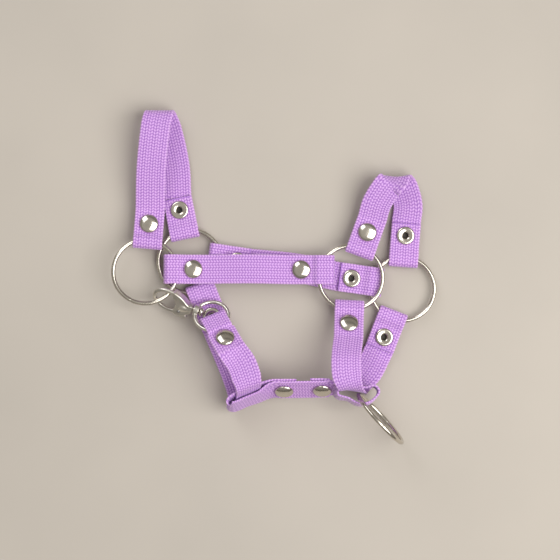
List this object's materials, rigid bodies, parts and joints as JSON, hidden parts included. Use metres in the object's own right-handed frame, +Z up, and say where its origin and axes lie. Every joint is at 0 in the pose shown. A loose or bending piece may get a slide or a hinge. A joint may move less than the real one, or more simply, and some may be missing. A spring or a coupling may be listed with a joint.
{
  "type": "head halter",
  "caption": "Small pet head halter of riveted webbing straps joined by wire rings, with a lead ring under the chin and a lobster swivel clasp at the throat.",
  "frame": {"origin": "middle of the footprint, on the surface that the halter lies on", "axes": "+Z up, away from the surface; +X from the crown rings towards the nose rings; +Y from the jaw strap towards the crown strap"},
  "size_m": [0.167, 0.1704, 0.0348],
  "materials": {
    "webbing": "woven lilac polypropylene webbing",
    "nickel": "polished nickel plate",
    "steel": "plain spring steel"
  },
  "bodies": {
    "straps": {"crown_strap": "webbing", "nose_strap": "webbing", "cheek_strap_near": "webbing", "cheek_strap_off": "webbing", "chin_strap": "webbing", "throat_strap": "webbing", "jaw_strap": "webbing", "crown_rivet_near_cap": "nickel", "crown_rivet_near_post": "nickel", "crown_rivet_off_cap": "nickel", "crown_rivet_off_post": "nickel", "nose_rivet_near_cap": "nickel", "nose_rivet_near_post": "nickel", "nose_rivet_off_cap": "nickel", "nose_rivet_off_post": "nickel", "cheek_rivet_near_rear_cap": "nickel", "cheek_rivet_near_rear_post": "nickel", "cheek_rivet_near_front_cap": "nickel", "cheek_rivet_near_front_post": "nickel", "cheek_rivet_off_rear_cap": "nickel", "cheek_rivet_off_rear_post": "nickel", "cheek_rivet_off_front_cap": "nickel", "cheek_rivet_off_front_post": "nickel", "chin_rivet_near_cap": "nickel", "chin_rivet_near_post": "nickel", "chin_rivet_off_cap": "nickel", "chin_rivet_off_post": "nickel", "throat_rivet_near_cap": "nickel", "throat_rivet_near_post": "nickel", "throat_rivet_off_cap": "nickel", "throat_rivet_off_post": "nickel", "jaw_rivet_rear_cap": "nickel", "jaw_rivet_rear_post": "nickel", "jaw_rivet_front_cap": "nickel", "jaw_rivet_front_post": "nickel"},
    "crown_ring_near": {"crown_ring_near": "nickel"},
    "crown_ring_off": {"crown_ring_off": "nickel"},
    "nose_ring_near": {"nose_ring_near": "nickel"},
    "nose_ring_off": {"nose_ring_off": "nickel"},
    "lead_ring": {"lead_ring": "nickel"},
    "eye": {"clasp_eye": "nickel"},
    "hook": {"clasp_hook": "nickel", "swivel_post": "nickel", "gate_pin": "steel", "gate_spring": "steel"},
    "gate": {"clasp_gate": "nickel"}
  },
  "joints": [
    {"name": "crown_ring_near_turn", "type": "hinge", "parent": "straps", "child": "crown_ring_near", "pos_m": [-0.0661, 0.0025, 0.0093], "axis": [0.0647, 0.0697, 0.9955], "continuous": true},
    {"name": "crown_ring_off_turn", "type": "hinge", "parent": "straps", "child": "crown_ring_off", "pos_m": [-0.0434, 0.0077, 0.0035], "axis": [0, 0, 1], "continuous": true},
    {"name": "nose_ring_near_turn", "type": "hinge", "parent": "straps", "child": "nose_ring_near", "pos_m": [0.0392, -0.0006, 0.0078], "axis": [0, 0, 1], "continuous": true},
    {"name": "nose_ring_off_turn", "type": "hinge", "parent": "straps", "child": "nose_ring_off", "pos_m": [0.06606, -0.0064, 0.0035], "axis": [0, 0, 1], "continuous": true},
    {"name": "lead_ring_swing", "type": "hinge", "parent": "straps", "child": "lead_ring", "pos_m": [0.04249, -0.06012, 0.01744], "axis": [0, 0, 1], "range_deg": [-45, 12]},
    {"name": "eye_tilt", "type": "hinge", "parent": "straps", "child": "eye", "pos_m": [-0.02806, -0.0264, 0.01721], "axis": [-0.8945, -0.3662, 0.2564], "range_deg": [-1.5, 1.5]},
    {"name": "clasp_swivel", "type": "hinge", "parent": "eye", "child": "hook", "pos_m": [-0.03977, -0.01725, 0.01081], "axis": [0.9382, -0.3391, 0.07], "range_deg": [-3, 15]},
    {"name": "gate_hinge", "type": "hinge", "parent": "hook", "child": "gate", "pos_m": [-0.04857, -0.01674, 0.00839], "axis": [0.2531, 0.5335, -0.807], "range_deg": [0, 6], "stiffness_Nm_per_rad": 0.005, "springref_deg": -11.46}
  ]
}
